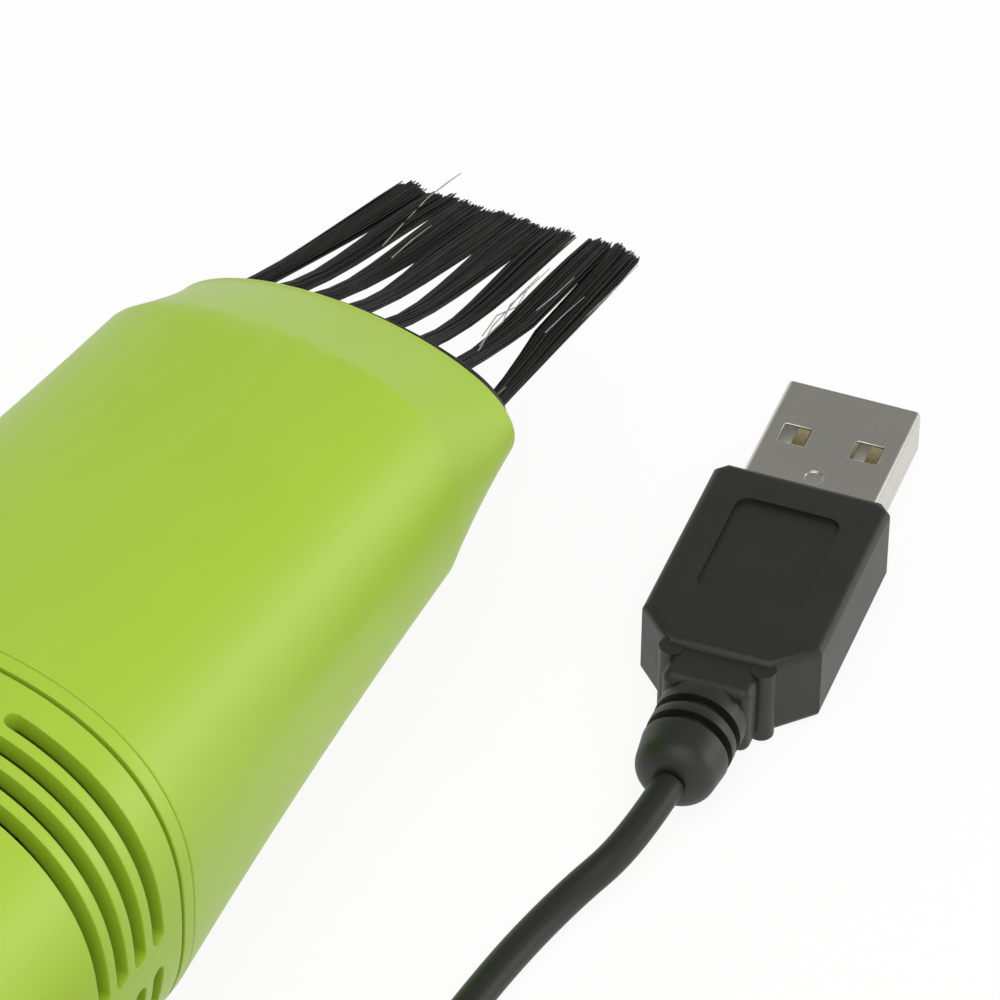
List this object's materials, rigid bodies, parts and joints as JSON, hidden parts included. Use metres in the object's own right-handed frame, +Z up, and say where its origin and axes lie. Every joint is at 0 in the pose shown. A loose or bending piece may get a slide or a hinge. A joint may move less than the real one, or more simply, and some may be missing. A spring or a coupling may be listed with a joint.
{
  "type": "desktop mini vacuum cleaner",
  "caption": "Palm-sized vacuum cleaner for desks and keyboards: barrel with vents and slide switch, pull-off dust cup, arched bristle mouth, lead with a USB plug.",
  "frame": {"origin": "under the middle of the cleaner's length, bristle tips to the end of the tail boot, on the plane it stands on", "axes": "+X from the tail towards the bristles, +Y to the left, +Z up"},
  "size_m": [0.1928, 0.1045, 0.04],
  "materials": {
    "green_abs": "satin moulded, fine grain",
    "black_abs": "matt moulded",
    "grey_nylon": "matt moulded",
    "bristle_nylon": "drawn filament",
    "filter_felt": "non-woven felt",
    "seal_rubber": "moulded",
    "boot_rubber": "moulded",
    "cord_pvc": "extruded",
    "lead_pvc": "extruded",
    "zinc_steel": "zinc plated",
    "nickel_steel": "bright nickel plate",
    "sintered_bronze": "sintered",
    "contact_brass": "gilt",
    "core_steel": "laminated",
    "ferrite": "pressed",
    "white_pbt": "moulded"
  },
  "bodies": {
    "motor_unit": {"intake_plate": "green_abs", "housing_top": "green_abs", "housing_bottom": "green_abs", "cup_seal": "seal_rubber", "housing_screws": "zinc_steel", "motor_can": "zinc_steel", "motor_end_cap": "grey_nylon", "bearing_front": "sintered_bronze", "bearing_rear": "sintered_bronze", "motor_magnets": "ferrite", "motor_terminals": "contact_brass", "motor_plate": "black_abs", "motor_screws": "zinc_steel", "switch_body": "black_abs", "switch_pins": "contact_brass", "cable_boot": "boot_rubber", "cable_clamp": "zinc_steel", "cable_jacket_end": "cord_pvc", "lead_supply": "lead_pvc", "lead_motor": "lead_pvc", "lead_return": "cord_pvc", "usb_cable_front": "cord_pvc", "usb_cable_rear": "cord_pvc", "cable_coil": "cord_pvc", "coil_tie": "black_abs", "plug_shell": "nickel_steel", "plug_tongue": "white_pbt", "plug_contacts": "contact_brass", "plug_overmold": "boot_rubber"},
    "fan": {"impeller": "black_abs", "motor_shaft": "zinc_steel", "armature_core": "core_steel", "commutator": "contact_brass"},
    "switch": {"switch_knob": "black_abs"},
    "filter": {"filter_frame": "black_abs", "filter_cloth": "filter_felt"},
    "dust_cup": {"dust_cup": "green_abs"},
    "brush": {"brush_holder": "black_abs", "brush_tufts": "bristle_nylon"}
  },
  "joints": [
    {"name": "fan_spin", "type": "hinge", "parent": "motor_unit", "child": "fan", "pos_m": [-0.0257, 0, 0.01894], "axis": [1, 0, 0], "continuous": true},
    {"name": "switch_slide", "type": "slide", "parent": "motor_unit", "child": "switch", "axis": [1, 0, 0], "range_m": [0, 0.003]},
    {"name": "cup_pull", "type": "slide", "parent": "motor_unit", "child": "dust_cup", "axis": [1, 0, 0], "range_m": [0, 0.008]},
    {"name": "filter_pull", "type": "slide", "parent": "motor_unit", "child": "filter", "axis": [1, 0, 0], "range_m": [0, 0.0045]},
    {"name": "brush_pull", "type": "slide", "parent": "dust_cup", "child": "brush", "axis": [1, 0, 0], "range_m": [0, 0.011]}
  ]
}
